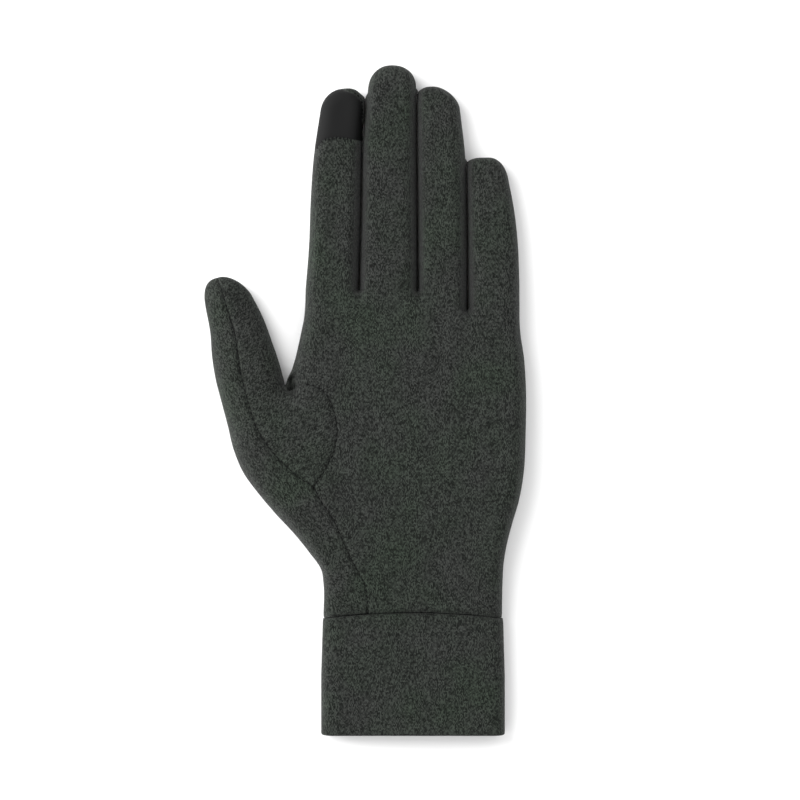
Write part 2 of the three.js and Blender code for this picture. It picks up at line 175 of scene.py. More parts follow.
even = np.linspace(0, 1, COLUMN_COUNT + 1)
COLUMNS = (1 - EDGE_CROWDING) * even + EDGE_CROWDING * (1 - np.cos(np.pi * even)) / 2
LOW_ROWS = int(THUMB_ROOT_SHARE * PALM_LENGTH / STEP)
HIGH_ROWS = int((1 - THUMB_ROOT_SHARE) * PALM_LENGTH / STEP)
LOW_SHARES = np.linspace(0, THUMB_ROOT_SHARE, LOW_ROWS + 1)
PALM_SHARES = np.r_[LOW_SHARES, np.linspace(THUMB_ROOT_SHARE, 1, HIGH_ROWS + 1)[1:]]
PALM_LINES = (
    "thumb_outer", "thumb_crotch", "index_middle", "middle_ring", "ring_little", "little_outer")


def palm_line(name, share):
    """Plan points from the wrist seam to a root, for shares 0 to 1 of the way. The two
    outer lines follow the sides' tables, and the inner ones are straight."""
    end = root(name)
    share = np.asarray(share, float)
    if name == "thumb_outer":
        x = read_smooth(THUMB_SIDE, end[1] / PALM_LENGTH * share) * HALF_PALM
    elif name == "little_outer":
        x = read_smooth(LITTLE_SIDE, end[1] / PALM_LENGTH * share) * HALF_PALM
    else:
        place = PALM_LINES.index(name) / (len(PALM_LINES) - 1)
        x = (1 - share) * HALF_WRIST * (2 * place - 1) + share * end[0]
    bow = -WRIST_BOW * (x / HALF_WRIST) ** 2 * (1 - share) ** 3
    return np.stack([x, end[1] * share + bow], axis=-1)


def palm_rise(share):
    """Height of the flat cloth above the side seams: a quarter sine up from the wrist to
    mid palm, then down by a square towards the knuckles."""
    early, late = np.minimum(share / 0.5, 1), np.maximum((share - 0.5) / 0.5, 0)
    return (WRIST_RISE + (PALM_RISE - WRIST_RISE) * np.sin(early * np.pi / 2)
            - (PALM_RISE - KNUCKLE_RISE) * late ** 2)


def digit_frame(name):
    """Middle of the root, unit vectors across and along, and the width at the root."""
    left, right = (root(r) for r in DIGITS[name]["roots"])
    drop = right[1] - left[1] if name == "thumb" else 0.0
    width = np.hypot(right[0] - left[0], drop)
    across = np.array([right[0] - left[0], drop]) / width
    return (left + right) / 2, across, np.array([-across[1], across[0]]), width


def place_in(name, shares):
    """Plan points from shares of a digit's width and length, or of the palm's."""
    shares = np.asarray(shares, float)
    if name == "palm":
        return shares * (HALF_PALM, PALM_LENGTH)
    middle, across, along, width = digit_frame(name)
    return (middle + shares[..., :1] * across * width
            + shares[..., 1:] * along * DIGITS[name]["length"])


def digit_rows(name):
    """Left and right edge points and rises of a digit's rows above its root. The sides
    follow the edge table, and the end closes as (1 - t^p)^(1/p), its own power each side."""
    digit = DIGITS[name]
    straight = 1 - digit["round_end"] / digit["length"]
    count = int(digit["length"] * straight / STEP)
    low = np.linspace(0, 1, count + 1)[1:] ** 1.2
    high = np.sin(np.linspace(0, np.pi / 2, 17))[1:]
    stations = np.linspace(0, 1, 5)
    edges = []
    for side, power in zip(("left", "right"), digit["power"]):
        values = digit[side]
        slope = (values[-1] - values[-2]) * 4 * digit["round_end"] / digit["length"] / straight
        keep = np.maximum(1 - high ** power, 0) ** (1 / power)
        closing = digit["tip"] + (values[-1] + slope * high - digit["tip"]) * keep
        edges.append(np.r_[read_smooth((stations, values), low), closing])
    share = np.r_[straight * low, straight + (1 - straight) * high]
    left, right = (root(r)[1] for r in digit["roots"])
    lift = 0.0 if name == "thumb" else (left - right) / 2 / digit["length"]
    slant = lift * (1 - share)
    rise_at_root = palm_rise(THUMB_ROOT_SHARE) if name == "thumb" else KNUCKLE_RISE
    rises = rise_at_root + (FINGERTIP_RISE - rise_at_root) * share
    return (place_in(name, np.c_[edges[0], share + slant]),
            place_in(name, np.c_[edges[1], share - slant]), rises)


def press(left_name, right_name, full=1.6, reach=3.0):
    """Moves two facing edges to the line midway between them. The move is whole where the
    gap is under the first width, and fades to none at the second."""
    first, second = EDGES[left_name][1], EDGES[right_name][0]
    there = np.interp(first[:, 1], second[:, 1], second[:, 0])
    here = np.interp(second[:, 1], first[:, 1], first[:, 0])
    for edge, gap, way in ((first, there - first[:, 0], 1), (second, second[:, 0] - here, -1)):
        fade = np.clip((reach - gap) / (reach - full), 0, 1)
        edge[:, 0] += way * (gap / 2 - TOUCH) * fade


TOUCH = 0.03
EDGES = {name: digit_rows(name) for name in DIGITS}
for pair in (("index", "middle"), ("middle", "ring"), ("ring", "little")):
    press(*pair)


def strip_grid(name):
    """Plan grid of one strip from the wrist to the tip, its rises, and its root's row."""
    shares = LOW_SHARES if name == "thumb" else PALM_SHARES
    left_root, right_root = DIGITS[name]["roots"]
    root_shares = LOW_SHARES / THUMB_ROOT_SHARE
    if name == "thumb":
        left, right = palm_line(left_root, root_shares), palm_line(right_root, root_shares)
    elif name == "index":
        above = PALM_SHARES[LOW_ROWS + 1:]
        side = np.c_[read_smooth(INDEX_SIDE, above) * HALF_PALM, above * PALM_LENGTH]
        left = np.r_[palm_line("thumb_crotch", root_shares), side]
        right = palm_line(right_root, shares)
    else:
        left, right = palm_line(left_root, shares), palm_line(right_root, shares)
    tip_left, tip_right, tip_rises = EDGES[name]
    left, right = np.r_[left, tip_left], np.r_[right, tip_right]
    plan = left[:, None] + (right - left)[:, None] * COLUMNS[None, :, None]
    rises = np.r_[palm_rise(shares), tip_rises]
    return plan, np.repeat(rises[:, None], len(COLUMNS), axis=1), len(shares) - 1


STRIPS = {name: strip_grid(name) for name in DIGITS}
print("strip rows", {name: len(strip[0]) for name, strip in STRIPS.items()})

# %% [markdown]
# ## Distance to the outline
# Cloth lying loose is flat in the middle and turns under at its edges. So the height at
# any point depends on how far it is from the outline, the gaps between the fingers
# included. That distance is the least over the outline's short straight pieces.

# %% Outline and distance


def chain(points):
    """Straight pieces between neighbouring points, as rows of two ends."""
    return np.c_[points[:-1], points[1:]]


def distance(points, pieces):
    """Least distance from each point to a set of straight pieces, worked in blocks."""
    a, b = pieces[:, :2], pieces[:, 2:]
    along = b - a
    size = np.maximum((along ** 2).sum(1), 1e-12)
    least = np.empty(len(points))
    for start in range(0, len(points), 4000):
        gap = points[start:start + 4000, None] - a[None]
        share = np.clip((gap * along).sum(2) / size, 0, 1)
        away = gap - share[..., None] * along
        least[start:start + 4000] = np.sqrt((away ** 2).sum(2)).min(1)
    return least


outline = []
for name, (plan, _, root_row) in STRIPS.items():
    first_left = {"thumb": 0, "index": LOW_ROWS}.get(name, root_row)
    first_right = 0 if name == "little" else root_row
    outline += [chain(plan[first_left:, 0]), chain(plan[first_right:, -1])]
outline = np.concatenate(outline)
outline_length = np.hypot(*(outline[:, 2:] - outline[:, :2]).T).sum()
print("outline pieces", len(outline), "length", round(outline_length), "mm")

# %% [markdown]
# ## The hand's surface
# The upper sheet rises from the side seams and the lower one falls to the table, where it
# lies flat. The thumb is rounder, because it lies on its side. A few slow waves keep the
# upper cloth from looking pressed. Where two fingers lie side by side, their seams sink
# between them and one side is pushed in, which makes the dark bands. Each corner also
# carries its place on the cloth, measured along the surface, so the knit isn't stretched
# down the sides.

# %% Surface of both sheets
WAVES = (
    (0.10, 0.31, 0.13, 0.4), (0.12, -0.11, 0.19, 1.7),
    (0.09, 0.23, -0.29, 2.9), (0.07, 0.05, 0.52, 0.8))
THUMB_BEGINS, THUMB_BLEND, THUMB_DOME = -36.0, 16.0, 8.5
FLANK_DEPTH, FLANK_WIDTH, GAP_SINK, GAP_WIDTH = 1.6, 2.0, 3.4, 1.3
LEFT, RIGHT = 0, -1
NEIGHBOURS = {
    "index": [("middle", RIGHT)], "middle": [("index", LEFT), ("ring", RIGHT)],
    "ring": [("middle", LEFT), ("little", RIGHT)], "little": [("ring", LEFT)],
}


def edge_shape(gap, reach):
    """0 at the outline and 1 past the reach: square root of 1 - (1 - s)^3."""
    share = np.minimum(gap / reach, 1)
    return np.sqrt(np.maximum(1 - (1 - share) ** 3, 0))


def loose_waves(plan):
    """Sum of four slow sine waves over the plan, in millimetres."""
    return sum(a * np.sin(kx * plan[..., 0] + ky * plan[..., 1] + start) for a, kx, ky, start in WAVES)


def leaning(name, other, side):
    """The stretch of a digit's side that lies against its neighbour, as straight pieces."""
    plan, _, root_row = STRIPS[name]
    beside, _, beside_root = STRIPS[other]
    edge = plan[root_row:, side]
    return chain(edge[distance(edge, chain(beside[beside_root:, -1 - side])) < 1.2])


places, cloth_places, faces, face_sheets, face_strips = [], [], [], [], []
count = 0
for number, (name, (plan, rises, _)) in enumerate(STRIPS.items()):
    rows, columns = plan.shape[:2]
    gap = distance(plan.reshape(-1, 2), outline).reshape(rows, columns)
    thumb_share = np.clip((THUMB_BEGINS - plan[..., 0]) / THUMB_BLEND, 0, 1)
    shape = edge_shape(gap, EDGE_ROUND + THUMB_DOME * thumb_share)
    seam, push = np.full((rows, columns), SEAM_HEIGHT), np.zeros((rows, columns))
    for other, side in NEIGHBOURS.get(name, ()):
        from_side = distance(plan.reshape(-1, 2), leaning(name, other, side)).reshape(rows, columns)
        seam -= GAP_SINK * np.exp(-(from_side / GAP_WIDTH) ** 2)
        push += (side == RIGHT) * FLANK_DEPTH * np.exp(-(from_side / FLANK_WIDTH) ** 2)
    top = seam + (rises + loose_waves(plan)) * shape - push * np.clip(gap / 1.2, 0, 1)
    under = seam * (1 - shape)
    ids = np.arange(rows * columns).reshape(rows, columns)
    a, b, c, d = ids[:-1, :-1], ids[:-1, 1:], ids[1:, 1:], ids[1:, :-1]
    triangles = np.concatenate([np.stack(t, -1).reshape(-1, 3) for t in ((a, b, c), (a, c, d))])
    for sheet, height in enumerate((top, under)):
        steps = np.hypot(np.diff(plan[..., 0], axis=1), np.diff(height, axis=1))
        run = np.c_[np.zeros(rows), np.cumsum(steps, axis=1)]
        middle = columns // 2
        across = plan[:, middle, :1] + run - run[:, middle:middle + 1]
        places.append(np.dstack([plan, height]).reshape(-1, 3))
        cloth_places.append(np.dstack([across, plan[..., 1]]).reshape(-1, 2))
        faces.append((triangles if sheet == 0 else triangles[:, ::-1]) + count)
        face_sheets.append(np.full(len(triangles), sheet))
        face_strips.append(np.full(len(triangles), number))
        count += rows * columns
hand = dict(
    place=np.concatenate(places), cloth=np.concatenate(cloth_places), face=np.concatenate(faces),
    sheet=np.concatenate(face_sheets), strip=np.concatenate(face_strips))
print("hand corners", len(hand["place"]), "faces", len(hand["face"]))

# %% [markdown]
# ## Seam lines
# Each seam is a short list of points on the digit or the palm that it crosses. A cloth
# cutter follows the line exactly, and so does this: every triangle that a seam crosses is
# split on the line, and its parts go to the pieces on either side.

# %% Seam lines and the cutter


def seam_line(legs, step=0.6):
    """Plan points of a seam: its legs end to end, rounded by a cubic on the run length."""
    rough = np.concatenate([place_in(name, shares) for name, shares in legs])
    run = np.r_[0, np.cumsum(np.hypot(*np.diff(rough, axis=0).T))]
    at = np.linspace(0, run[-1], int(run[-1] / step))
    return np.stack([read_smooth((run, rough[:, i]), at) for i in (0, 1)], axis=1)


THUMB_SEAM = seam_line([
    ("thumb", [(-0.062, 1.084), (-0.081, 0.985), (-0.063, 0.856), (-0.062, 0.726),
               (-0.049, 0.622), (-0.042, 0.514), (-0.065, 0.36), (-0.091, 0.237), (-0.102, 0.085)]),
    ("palm", [(-1.446, 0.638), (-1.402, 0.588), (-1.327, 0.539), (-1.143, 0.46),
              (-0.995, 0.415), (-0.874, 0.385), (-0.825, 0.352), (-0.778, 0.328), (-0.692, 0.279),
              (-0.584, 0.193), (-0.509, 0.141), (-0.423, 0.081), (-0.402, 0.022), (-0.4, -0.05)])])
CROTCH_LEG = [(0.554, 0.1), (0.519, 0.033), (0.503, -0.011)]
ARCH_SEAM = seam_line([
    ("thumb", CROTCH_LEG + [(0.527, -0.037), (0.593, -0.038)]),
    ("palm", [(-1.03, 0.7), (-0.918, 0.704), (-0.848, 0.696), (-0.785, 0.681), (-0.745, 0.662),
              (-0.706, 0.628), (-0.685, 0.604), (-0.671, 0.57), (-0.678, 0.531), (-0.706, 0.492),
              (-0.748, 0.462), (-0.797, 0.43), (-0.841, 0.41), (-0.89, 0.375)])])
THUMB_UNDER_SEAM = seam_line([
    ("thumb", [(-0.062, 1.084), (-0.081, 0.985), (-0.105, 0.683), (0.052, 0.344), (0.295, 0.076),
               (0.415, -0.005), (0.469, -0.02)] + CROTCH_LEG[::-1])])
TIP_LOWER_SEAM = seam_line([
    ("index", [(-0.515, 0.651), (-0.329, 0.688), (-0.259, 0.711), (-0.16, 0.738), (-0.032, 0.748),
               (0.11, 0.751), (0.253, 0.748), (0.367, 0.74), (0.502, 0.738), (0.6, 0.738)])])
TIP_SIDE_SEAM = seam_line([
    ("index", [(0.62, 0.7), (0.585, 0.79), (0.562, 0.85), (0.568, 0.908), (0.539, 0.94),
               (0.411, 0.974), (0.303, 0.986), (0.204, 0.993), (0.1, 1.02)])])
FAR = 400.0


def inside(points, loop):
    """Even-odd test: a point is in a closed loop when a line to its right crosses the
    loop an odd number of times."""
    a, b = loop, np.roll(loop, -1, axis=0)
    x, y = points[:, :1], points[:, 1:]
    spans = (a[:, 1] > y) != (b[:, 1] > y)
    rise = np.where(a[:, 1] == b[:, 1], 1e-9, b[:, 1] - a[:, 1])
    crossing = a[:, 0] + (y - a[:, 1]) / rise * (b[:, 0] - a[:, 0])
    return (spans & (x < crossing)).sum(1) % 2 == 1


def signed(points, line, closing):
    """Distance to a seam, less than 0 on the side that the closing corners go round."""
    gap = distance(points, chain(line))
    return np.where(inside(points, np.r_[line, closing]), -gap, gap)


CUTS = {
    "outer": lambda p: signed(p, THUMB_SEAM, [(-17, -FAR), (-FAR, -FAR), (-FAR, FAR), (-74.6, FAR)]),
    "arch": lambda p: signed(p, ARCH_SEAM, [(-60, 40), (-FAR, 40), (-FAR, FAR), (-48, FAR)]),
    "under": lambda p: signed(p, THUMB_UNDER_SEAM, [(-48.3, FAR), (-74.6, FAR)]),
    "tip_low": lambda p: signed(p, TIP_LOWER_SEAM, [(0, 178), (0, FAR), (-FAR, FAR), (-FAR, 160)]),
    "tip_side": lambda p: signed(p, TIP_SIDE_SEAM, [(-26, FAR), (-FAR, FAR), (-FAR, 150), (-18, 150)]),
}


def split(mesh, value, chosen):
    """Splits the chosen triangles where the value changes sign. The lone corner keeps one
    small triangle, and the other two corners share the rest, cut in two."""
    value = np.where(np.abs(value) < 1e-4, 1e-4, value)
    above = value[mesh["face"]] > 0
    total = above.sum(1)
    crossed = chosen & (total > 0) & (total < 3)
    face, up = mesh["face"][crossed], above[crossed]
    lone = np.where(total[crossed] == 1, up.argmax(1), (~up).argmax(1))
    a, b, c = (face[np.arange(len(face)), (lone + i) % 3] for i in range(3))
    edges, which = np.unique(np.sort(np.c_[np.r_[a, a], np.r_[b, c]], axis=1), axis=0, return_inverse=True)
    first, second = edges.T
    share = (value[first] / (value[first] - value[second]))[:, None]
    which = which.reshape(-1) + len(mesh["place"])
    p, q = which[:len(a)], which[len(a):]
    parts = np.concatenate([np.c_[a, p, q], np.c_[p, b, c], np.c_[p, c, q]])
    made = {key: np.r_[mesh[key], mesh[key][first] + share * (mesh[key][second] - mesh[key][first])]
            for key in ("place", "cloth")}
    made["face"] = np.r_[mesh["face"][~crossed], parts]
    for key in ("sheet", "strip"):
        made[key] = np.r_[mesh[key][~crossed], np.tile(mesh[key][crossed], 3)]
    return made


names = list(STRIPS)
for key in CUTS:
    index_only = key.startswith("tip")
    chosen = hand["sheet"] == (1 if key == "under" else 0)
    if index_only:
        chosen &= hand["strip"] == names.index("index")
    hand = split(hand, CUTS[key](hand["place"][:, :2]), chosen)
print("after cutting", len(hand["face"]), "faces")

# %% [markdown]
# ## Which piece each triangle belongs to
# The middle of a triangle tells its side of every seam, and that tells its piece.

# %% Sort the triangles
middles = hand["place"][hand["face"]].mean(1)[:, :2]
side = {key: CUTS[key](middles) < 0 for key in CUTS}
on_top = hand["sheet"] == 0
on_index = hand["strip"] == names.index("index")
above_tip_seam = on_top & on_index & side["tip_low"]
is_tip = above_tip_seam & side["tip_side"]
is_rim = above_tip_seam & ~side["tip_side"]
is_outer = on_top & side["outer"]
is_gusset = (on_top & ~side["outer"] & side["arch"]) | (~on_top & side["under"])
is_back = is_rim | is_outer | (~on_top & ~side["under"])
is_palm = ~(is_tip | is_gusset | is_back)
print({k: int(v.sum()) for k, v in dict(tip=is_tip, gusset=is_gusset, back=is_back, palm=is_palm).items()})

# %% [markdown]
# ## Sinking the seams
# Where two pieces are sewn, the stitches pull the cloth in and leave a narrow valley. Each
# corner near a seam moves inward along its own normal by a bell curve of its distance. The
# hollow beside the thumb and the puckers where the fingers part are dents straight down.

# %% Seam valleys


def weld_ids(points):
    """One number for every separate place, so corners that touch move together."""
    return np.unique(points.round(4), axis=0, return_inverse=True)[1].reshape(-1)


def corner_normals(points, face, ids):
    """Unit sum of the face normals round each separate place."""
    p = points[face]
    normal = np.cross(p[:, 1] - p[:, 0], p[:, 2] - p[:, 0])
    total = np.zeros((ids.max() + 1, 3))
    for corner in range(3):
        np.add.at(total, ids[face[:, corner]], normal)
    return (total / np.maximum(np.linalg.norm(total, axis=1, keepdims=True), 1e-12))[ids]


VALLEYS = [
    (THUMB_SEAM, 0, 0.95, 0.5), (ARCH_SEAM, 0, 0.85, 0.5), (TIP_LOWER_SEAM, 0, 0.2, 0.5),
    (TIP_SIDE_SEAM, 0, 0.6, 0.5), (THUMB_UNDER_SEAM, 1, 0.4, 0.8),
]
DENTS = {
    "beside the thumb": ([(-46.2, 88.4), (-45.6, 86.2), (-45.9, 84.6)], 6.0, 1.8),
    "below the thumb": ([(-47.8, 82.0), (-45.0, 81.0)], 0.9, 3.0),
    "index and middle": ([(-20.6, 121.6), (-20.8, 119.0)], 0.9, 1.0),
    "middle and ring": ([(2.0, 121.4), (2.2, 118.6)], 0.8, 1.0),
    "ring and little": ([(20.7, 114.2), (21.0, 113.2), (22.8, 112.8)], 1.0, 0.8),
}
plan_points = hand["place"][:, :2]
sheet_of = np.zeros(len(plan_points), int)
sheet_of[hand["face"].reshape(-1)] = np.repeat(hand["sheet"], 3)
on_index_corner = np.zeros(len(plan_points), bool)
on_index_corner[hand["face"][on_index].reshape(-1)] = True
sink = np.zeros(len(plan_points))
for line, sheet, depth, width in VALLEYS:
    near = sheet_of == sheet
    if line is TIP_LOWER_SEAM or line is TIP_SIDE_SEAM:
        near &= on_index_corner
    sink += near * depth * np.exp(-(distance(plan_points, chain(line)) / width) ** 2)
flatness = np.clip(np.abs(hand["place"][:, 2] - SEAM_HEIGHT) / 5, 0.15, 1)
wrist_gap = plan_points[:, 1] + WRIST_BOW * (plan_points[:, 0] / HALF_WRIST) ** 2
sink = (sink + 1.5 * np.exp(-(wrist_gap / 0.7) ** 2)) * flatness
welds = weld_ids(hand["place"])
deepest = np.zeros(welds.max() + 1)
np.maximum.at(deepest, welds, sink)
hand["place"] = hand["place"] - corner_normals(hand["place"], hand["face"], welds) * deepest[welds][:, None]
inland = np.clip(distance(plan_points, outline) / 1.2, 0, 1) * (sheet_of == 0)
for line, depth, width in DENTS.values():
    bell = np.exp(-(distance(plan_points, chain(np.array(line))) / width) ** 2)
    hand["place"][:, 2] -= depth * bell * inland
hand["place"][:, 2] = np.maximum(hand["place"][:, 2], 0)
hand_normals = corner_normals(hand["place"], hand["face"], welds)
print("deepest valley", round(float(deepest.max()), 2), "mm")

# %% [markdown]
# ## From arrays to objects
# A helper puts arrays into a mesh in one go. The knit follows a UV map named cloth, which
# holds places on the cloth as shares of a quarter of a metre. Each panel is closed: its
# inner face lies one millimetre in along the normals, and a narrow rim joins the two along
# the cut edge. The normals are the whole hand's, so neighbouring panels meet all the way in.

# %% Mesh helper
CLOTH_SPAN = 250.0


def add_object(name, points, face, corner_cloth, node):
    """An object from points in millimetres from the wrist, faces of one corner count, and a
    cloth place for each face corner. It rides on the one body and stands for a solid."""
    mesh = bpy.data.meshes.new(name)
    face = np.asarray(face, np.int32)
    sides = face.shape[1]
    mesh.vertices.add(len(points))
    mesh.vertices.foreach_set("co", (np.asarray(points) * MM + WRIST).astype(np.float32).ravel())
    mesh.loops.add(face.size)
    mesh.loops.foreach_set("vertex_index", face.ravel())
    mesh.polygons.add(len(face))
    mesh.polygons.foreach_set("loop_start", np.arange(0, face.size, sides, dtype=np.int32))
    mesh.update(calc_edges=True)
    mesh.validate()
    layer = mesh.uv_layers.new(name="cloth")
    layer.data.foreach_set("uv", (corner_cloth / CLOTH_SPAN).astype(np.float32).ravel())
    mesh.shade_smooth()
    piece = bpy.data.objects.new(name, mesh)
    bpy.context.scene.collection.objects.link(piece)
    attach(piece, "root")
    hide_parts(node)
    print(name, len(points), "corners", len(face), "faces")
    return piece


def sharpen(mesh, pairs):
    """Marks the edges between these corner pairs as sharp, so the rim doesn't dull them."""
    ends = np.empty(len(mesh.edges) * 2, np.int32)
    mesh.edges.foreach_get("vertices", ends)
    size = len(mesh.vertices)
    keys = np.sort(ends.reshape(-1, 2), axis=1) @ (size, 1)
    wanted = np.sort(pairs, axis=1) @ (size, 1)
    marks = mesh.attributes.new("sharp_edge", "BOOLEAN", "EDGE")
    marks.data.foreach_set("value", np.isin(keys, wanted))


def panel(name, mask, node):
    """The chosen triangles as a closed sheet: outer face, inner face and a rim wherever an
    edge has one triangle only."""
    face = hand["face"][mask]
    ids = welds[face]
    good = (ids[:, 0] != ids[:, 1]) & (ids[:, 1] != ids[:, 2]) & (ids[:, 2] != ids[:, 0])
    face, ids = face[good], ids[good]
    used, first, joined = np.unique(ids, return_index=True, return_inverse=True)
    joined = joined.reshape(-1, 3)
    chosen = face.reshape(-1)[first]
    outer = hand["place"][chosen]
    inner = outer - hand_normals[chosen] * KNIT_WALL
    size = len(outer)
    pairs = joined[:, [0, 1, 1, 2, 2, 0]].reshape(-1, 2)
    cloth = hand["cloth"][face]
    pair_cloth = cloth[:, [0, 1, 1, 2, 2, 0]].reshape(-1, 2, 2)
    _, which, times = np.unique(np.sort(pairs, axis=1), axis=0, return_inverse=True, return_counts=True)
    lone = times[which.reshape(-1)] == 1
    (a, b), (at_a, at_b) = pairs[lone].T, pair_cloth[lone].transpose(1, 0, 2)
    rim = np.concatenate([np.c_[b, a, a + size], np.c_[b, a + size, b + size]])
    rim_cloth = np.concatenate([np.stack([at_b, at_a, at_a], 1), np.stack([at_b, at_a, at_b], 1)])
    piece = add_object(
        name, np.r_[outer, inner], np.r_[joined, joined[:, ::-1] + size, rim],
        np.concatenate([cloth, cloth[:, ::-1], rim_cloth]), node)
    sharpen(piece.data, np.r_[pairs[lone], pairs[lone] + size])
    return piece


palm_cloth = panel("palm_cloth", is_palm, "palm_panel")
back_cloth = panel("back_cloth", is_back, "back_panel")
gusset_cloth = panel("gusset_cloth", is_gusset, "thumb_gusset")
touch_cloth = panel("touch_cloth", is_tip, "touch_tip")

# %% [markdown]
# ## The cuff
# The cuff is a tube of knit folded in half, so its lower edge is a soft round fold and its
# wall is double. It is one profile, outer face, fold and inner face, carried round the
# flattened tube. At the top it turns in towards the seam, which leaves the dark crease.

# %% Cuff
CUFF_LENGTH, HALF_MOUTH, CUFF_RISE, CUFF_WALL = 46.7, 34.9, 6.0, 1.8
WRIST_SLIT = 0.15
AROUND = 220


def cuff_loop(half_width):
    """Closed section of the tube: x goes out and back by a cosine, and the height follows
    the edge shape above and below the side line."""
    turn = np.linspace(0, 2 * np.pi, AROUND, endpoint=False)
    x = -half_width * np.cos(turn)
    shape = edge_shape(half_width - np.abs(x), EDGE_ROUND)
    z = np.where(turn < np.pi, SEAM_HEIGHT + CUFF_RISE * shape, SEAM_HEIGHT * (1 - shape))
    return np.stack([x, z], axis=-1)


def loop_normals(loop):
    """Outward unit normals of a closed section, from its neighbours' direction."""
    along = np.roll(loop, -1, axis=0) - np.roll(loop, 1, axis=0)
    normal = np.stack([-along[:, 1], along[:, 0]], axis=-1)
    return normal / np.linalg.norm(normal, axis=1, keepdims=True)


fold = np.linspace(0, np.pi, 9)
shoulder = np.linspace(0, np.pi / 2, 7)
outer_run = np.linspace(0.05, 1, 44)
profile_share = np.r_[
    0.045 * (1 - np.cos(shoulder[:-1])), outer_run, np.ones(8), outer_run[::-1][1:], 0.0]
profile_depth = np.r_[
    1.6 * (1 - np.sin(shoulder[:-1])), np.zeros(44),
    CUFF_WALL / 2 * (1 - np.cos(fold[1:])), np.full(43, CUFF_WALL), CUFF_WALL]
fold_drop = np.r_[np.zeros(50), CUFF_WALL / 2 * np.sin(fold[1:]), np.zeros(44)]
first_loop = cuff_loop(HALF_WRIST + 0.35)
around_steps = np.hypot(*np.diff(np.r_[first_loop, first_loop[:1]], axis=0).T)
cloth_u = np.r_[0, np.cumsum(around_steps)]
rings = []
for share, depth, drop in zip(profile_share, profile_depth, fold_drop):
    loop = cuff_loop(HALF_WRIST + 0.35 + (HALF_MOUTH - HALF_WRIST - 0.35) * min(share * 2, 1))
    normal = loop_normals(loop)
    flatness = np.clip(np.abs(loop[:, 1:] - SEAM_HEIGHT) / 5, 0.15, 1)
    section = loop - normal * (depth * flatness if share < 0.05 else depth)
    top_y = -WRIST_SLIT - WRIST_BOW * (loop[:, 0] / HALF_WRIST) ** 2
    y = top_y + (-CUFF_LENGTH + CUFF_WALL / 2 - top_y) * share - drop
    ripple = 0.12 * np.sin(loop[:, 0] * 0.21 + 1.3) * np.sin(y * 0.13) * (section[:, 1] > SEAM_HEIGHT)
    rings.append(np.stack([section[:, 0], y, np.maximum(section[:, 1] + ripple, 0)], axis=-1))
rings = np.array(rings)
count = len(rings)
i, j = np.meshgrid(np.arange(count), np.arange(AROUND), indexing="ij")
ni, nj = (i + 1) % count, (j + 1) % AROUND
quads = np.stack([i * AROUND + j, ni * AROUND + j, ni * AROUND + nj, i * AROUND + nj], -1).reshape(-1, 4)
profile_run = np.hypot(np.diff(rings[:, 0, 1]), np.diff(profile_depth))
cloth_v = -np.r_[0, np.cumsum(profile_run), profile_run.sum() + CUFF_WALL]
quad_cloth = np.stack([
    np.stack([cloth_u[uj], cloth_v[vi]], -1)
    for vi, uj in ((i, j), (i + 1, j), (i + 1, j + 1), (i, j + 1))], axis=2).reshape(-1, 4, 2)
cuff_cloth = add_object("cuff_cloth", rings.reshape(-1, 3), quads, quad_cloth, "cuff_band")

# %% [markdown]
# ## Stitches
# The flap of the gusset and the cloth tip are held by small even stitches that show as a
# row of dark dots. One low capsule is repeated along each seam, laid on the surface.

# %% Stitches


def surface_height(points):
    """Height of the upper sheet at plan points, from the nearest corner."""
    top = hand["place"][sheet_of == 0]
    gap = ((points[:, None] - top[None, :, :2]) ** 2).sum(2)
    return top[gap.argmin(1), 2]


def capsule(length, radius, sides=6):
    """A short thread with rounded ends along X, as rings of few sides."""
    at = np.array([-0.5, -0.42, -0.2, 0.2, 0.42, 0.5]) * length
    size = np.array([0.05, 0.7, 1, 1, 0.7, 0.05]) * radius
    turn = np.linspace(0, 2 * np.pi, sides, endpoint=False)
    points = np.stack(np.broadcast_arrays(
        at[:, None], size[:, None] * np.cos(turn), size[:, None] * np.sin(turn)), -1).reshape(-1, 3)
    i, j = np.meshgrid(np.arange(len(at) - 1), np.arange(sides), indexing="ij")
    k = (j + 1) % sides
    face = np.stack([i * sides + j, i * sides + k, (i + 1) * sides + k, (i + 1) * sides + j], -1)
    ends = np.stack([np.arange(sides)[::-1], (len(at) - 1) * sides + np.arange(sides)])
    caps = np.concatenate([np.c_[e[0].repeat(sides - 2), e[1:-1], e[2:], e[2:]] for e in ends])
    return points, np.r_[face.reshape(-1, 4), caps]


